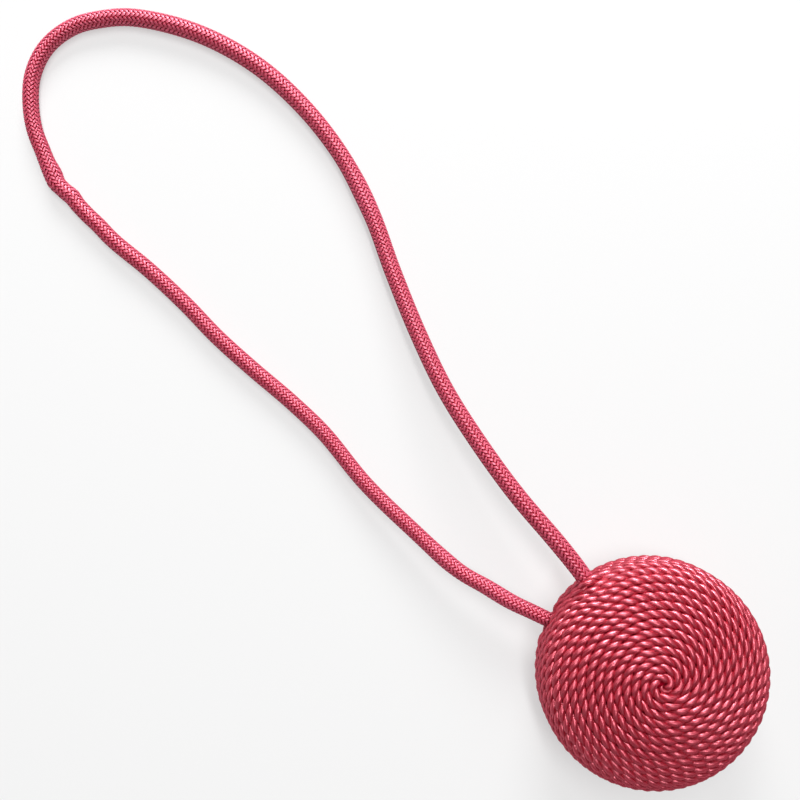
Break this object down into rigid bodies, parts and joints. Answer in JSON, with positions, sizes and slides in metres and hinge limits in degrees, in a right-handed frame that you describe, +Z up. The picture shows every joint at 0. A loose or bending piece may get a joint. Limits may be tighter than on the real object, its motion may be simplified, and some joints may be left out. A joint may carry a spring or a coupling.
{
  "type": "magnetic curtain tieback",
  "caption": "Thick disc of wound twisted yarn in halves that close on hidden magnets, with a braided cord loop that holds a gathered curtain.",
  "frame": {"origin": "middle of the flat spot that the closed disc rests on", "axes": "+Z up through the middle of the winding, the cord loop towards -X and +Y"},
  "size_m": [0.1825, 0.191, 0.0262],
  "materials": {
    "wound_yarn": "silky crimson twisted yarn, wound in close turns",
    "braided_yarn": "silky crimson yarn in a round herringbone braid"
  },
  "bodies": {
    "root": {"upper_half": "wound_yarn", "lower_half": "wound_yarn", "cord": "braided_yarn"}
  },
  "joints": []
}
